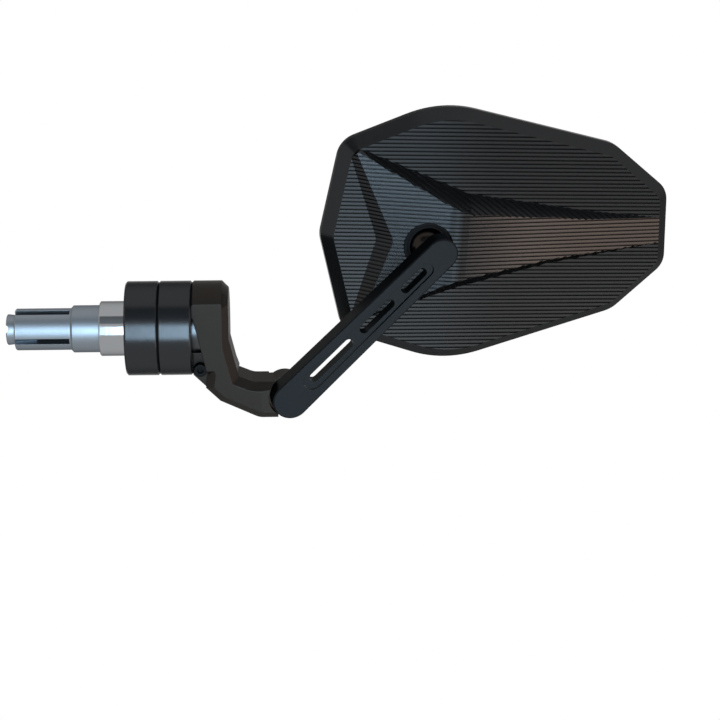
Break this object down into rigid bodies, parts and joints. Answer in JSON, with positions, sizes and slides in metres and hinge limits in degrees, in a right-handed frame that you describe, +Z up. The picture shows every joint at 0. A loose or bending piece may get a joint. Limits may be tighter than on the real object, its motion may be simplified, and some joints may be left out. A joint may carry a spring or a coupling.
{
  "type": "motorcycle bar end mirror",
  "caption": "Bar end mirror: an expanding plug for the handlebar, a swivelling elbow, a slotted arm and a faceted grooved head on a ball joint.",
  "frame": {"origin": "on the handlebar's axis, in the plane where the inner spacer ring meets the end of the bar", "axes": "+X along the bar's axis, outboard; +Z up; -Y forward, so the mirror glass looks towards +Y"},
  "size_m": [0.2272, 0.0543, 0.0998],
  "materials": {
    "black_anodised": "satin black anodised",
    "bare_aluminium": "turned, satin",
    "polished_steel": "polished",
    "dark_steel": "black oxide",
    "steel": "plain",
    "black_plastic": "matte",
    "foam": "matte",
    "mirror": "silvered"
  },
  "bodies": {
    "bar_plug": {"expander_cone": "bare_aluminium", "expander_sleeve": "bare_aluminium", "adapter_ring": "polished_steel", "inner_spacer_ring": "black_anodised", "outer_spacer_ring": "black_anodised", "swivel_hub": "polished_steel", "clamp_bolt": "dark_steel", "clamp_washer": "steel"},
    "elbow": {"elbow": "black_anodised", "pinch_screw": "dark_steel"},
    "arm": {"arm": "black_anodised", "arm_pivot_bolt": "dark_steel", "arm_friction_washer": "black_plastic", "arm_spring_washer": "steel", "stud_grub_screw": "dark_steel"},
    "ball_stud": {"ball_stud": "polished_steel"},
    "socket_liner": {"socket_liner": "black_plastic"},
    "head": {"socket_ring": "black_plastic", "socket_cup": "black_plastic", "socket_plate": "steel", "socket_plate_screws": "dark_steel", "head_housing": "black_anodised", "glass_pad": "foam", "mirror_glass": "mirror"}
  },
  "joints": [
    {"name": "base_swivel", "type": "hinge", "parent": "bar_plug", "child": "elbow", "pos_m": [0.027, 0, 0], "axis": [1, 0, 0], "range_deg": [-180, 180]},
    {"name": "arm_pivot", "type": "hinge", "parent": "elbow", "child": "arm", "pos_m": [0.05514, -0.013, -0.0221], "axis": [0.1802, -0.9836, 0], "range_deg": [-94, 6]},
    {"name": "head_turn", "type": "hinge", "parent": "arm", "child": "ball_stud", "pos_m": [0.10159, 0.01228, 0.02475], "axis": [0.1802, -0.9836, 0], "range_deg": [-30, 100]},
    {"name": "head_tilt", "type": "hinge", "parent": "ball_stud", "child": "socket_liner", "pos_m": [0.10159, 0.01228, 0.02475], "axis": [0.9814, 0.1798, -0.068], "range_deg": [-12, 12]},
    {"name": "head_pan", "type": "hinge", "parent": "socket_liner", "child": "head", "pos_m": [0.10159, 0.01228, 0.02475], "axis": [0.0669, 0.0123, 0.9977], "range_deg": [-12, 12]}
  ]
}
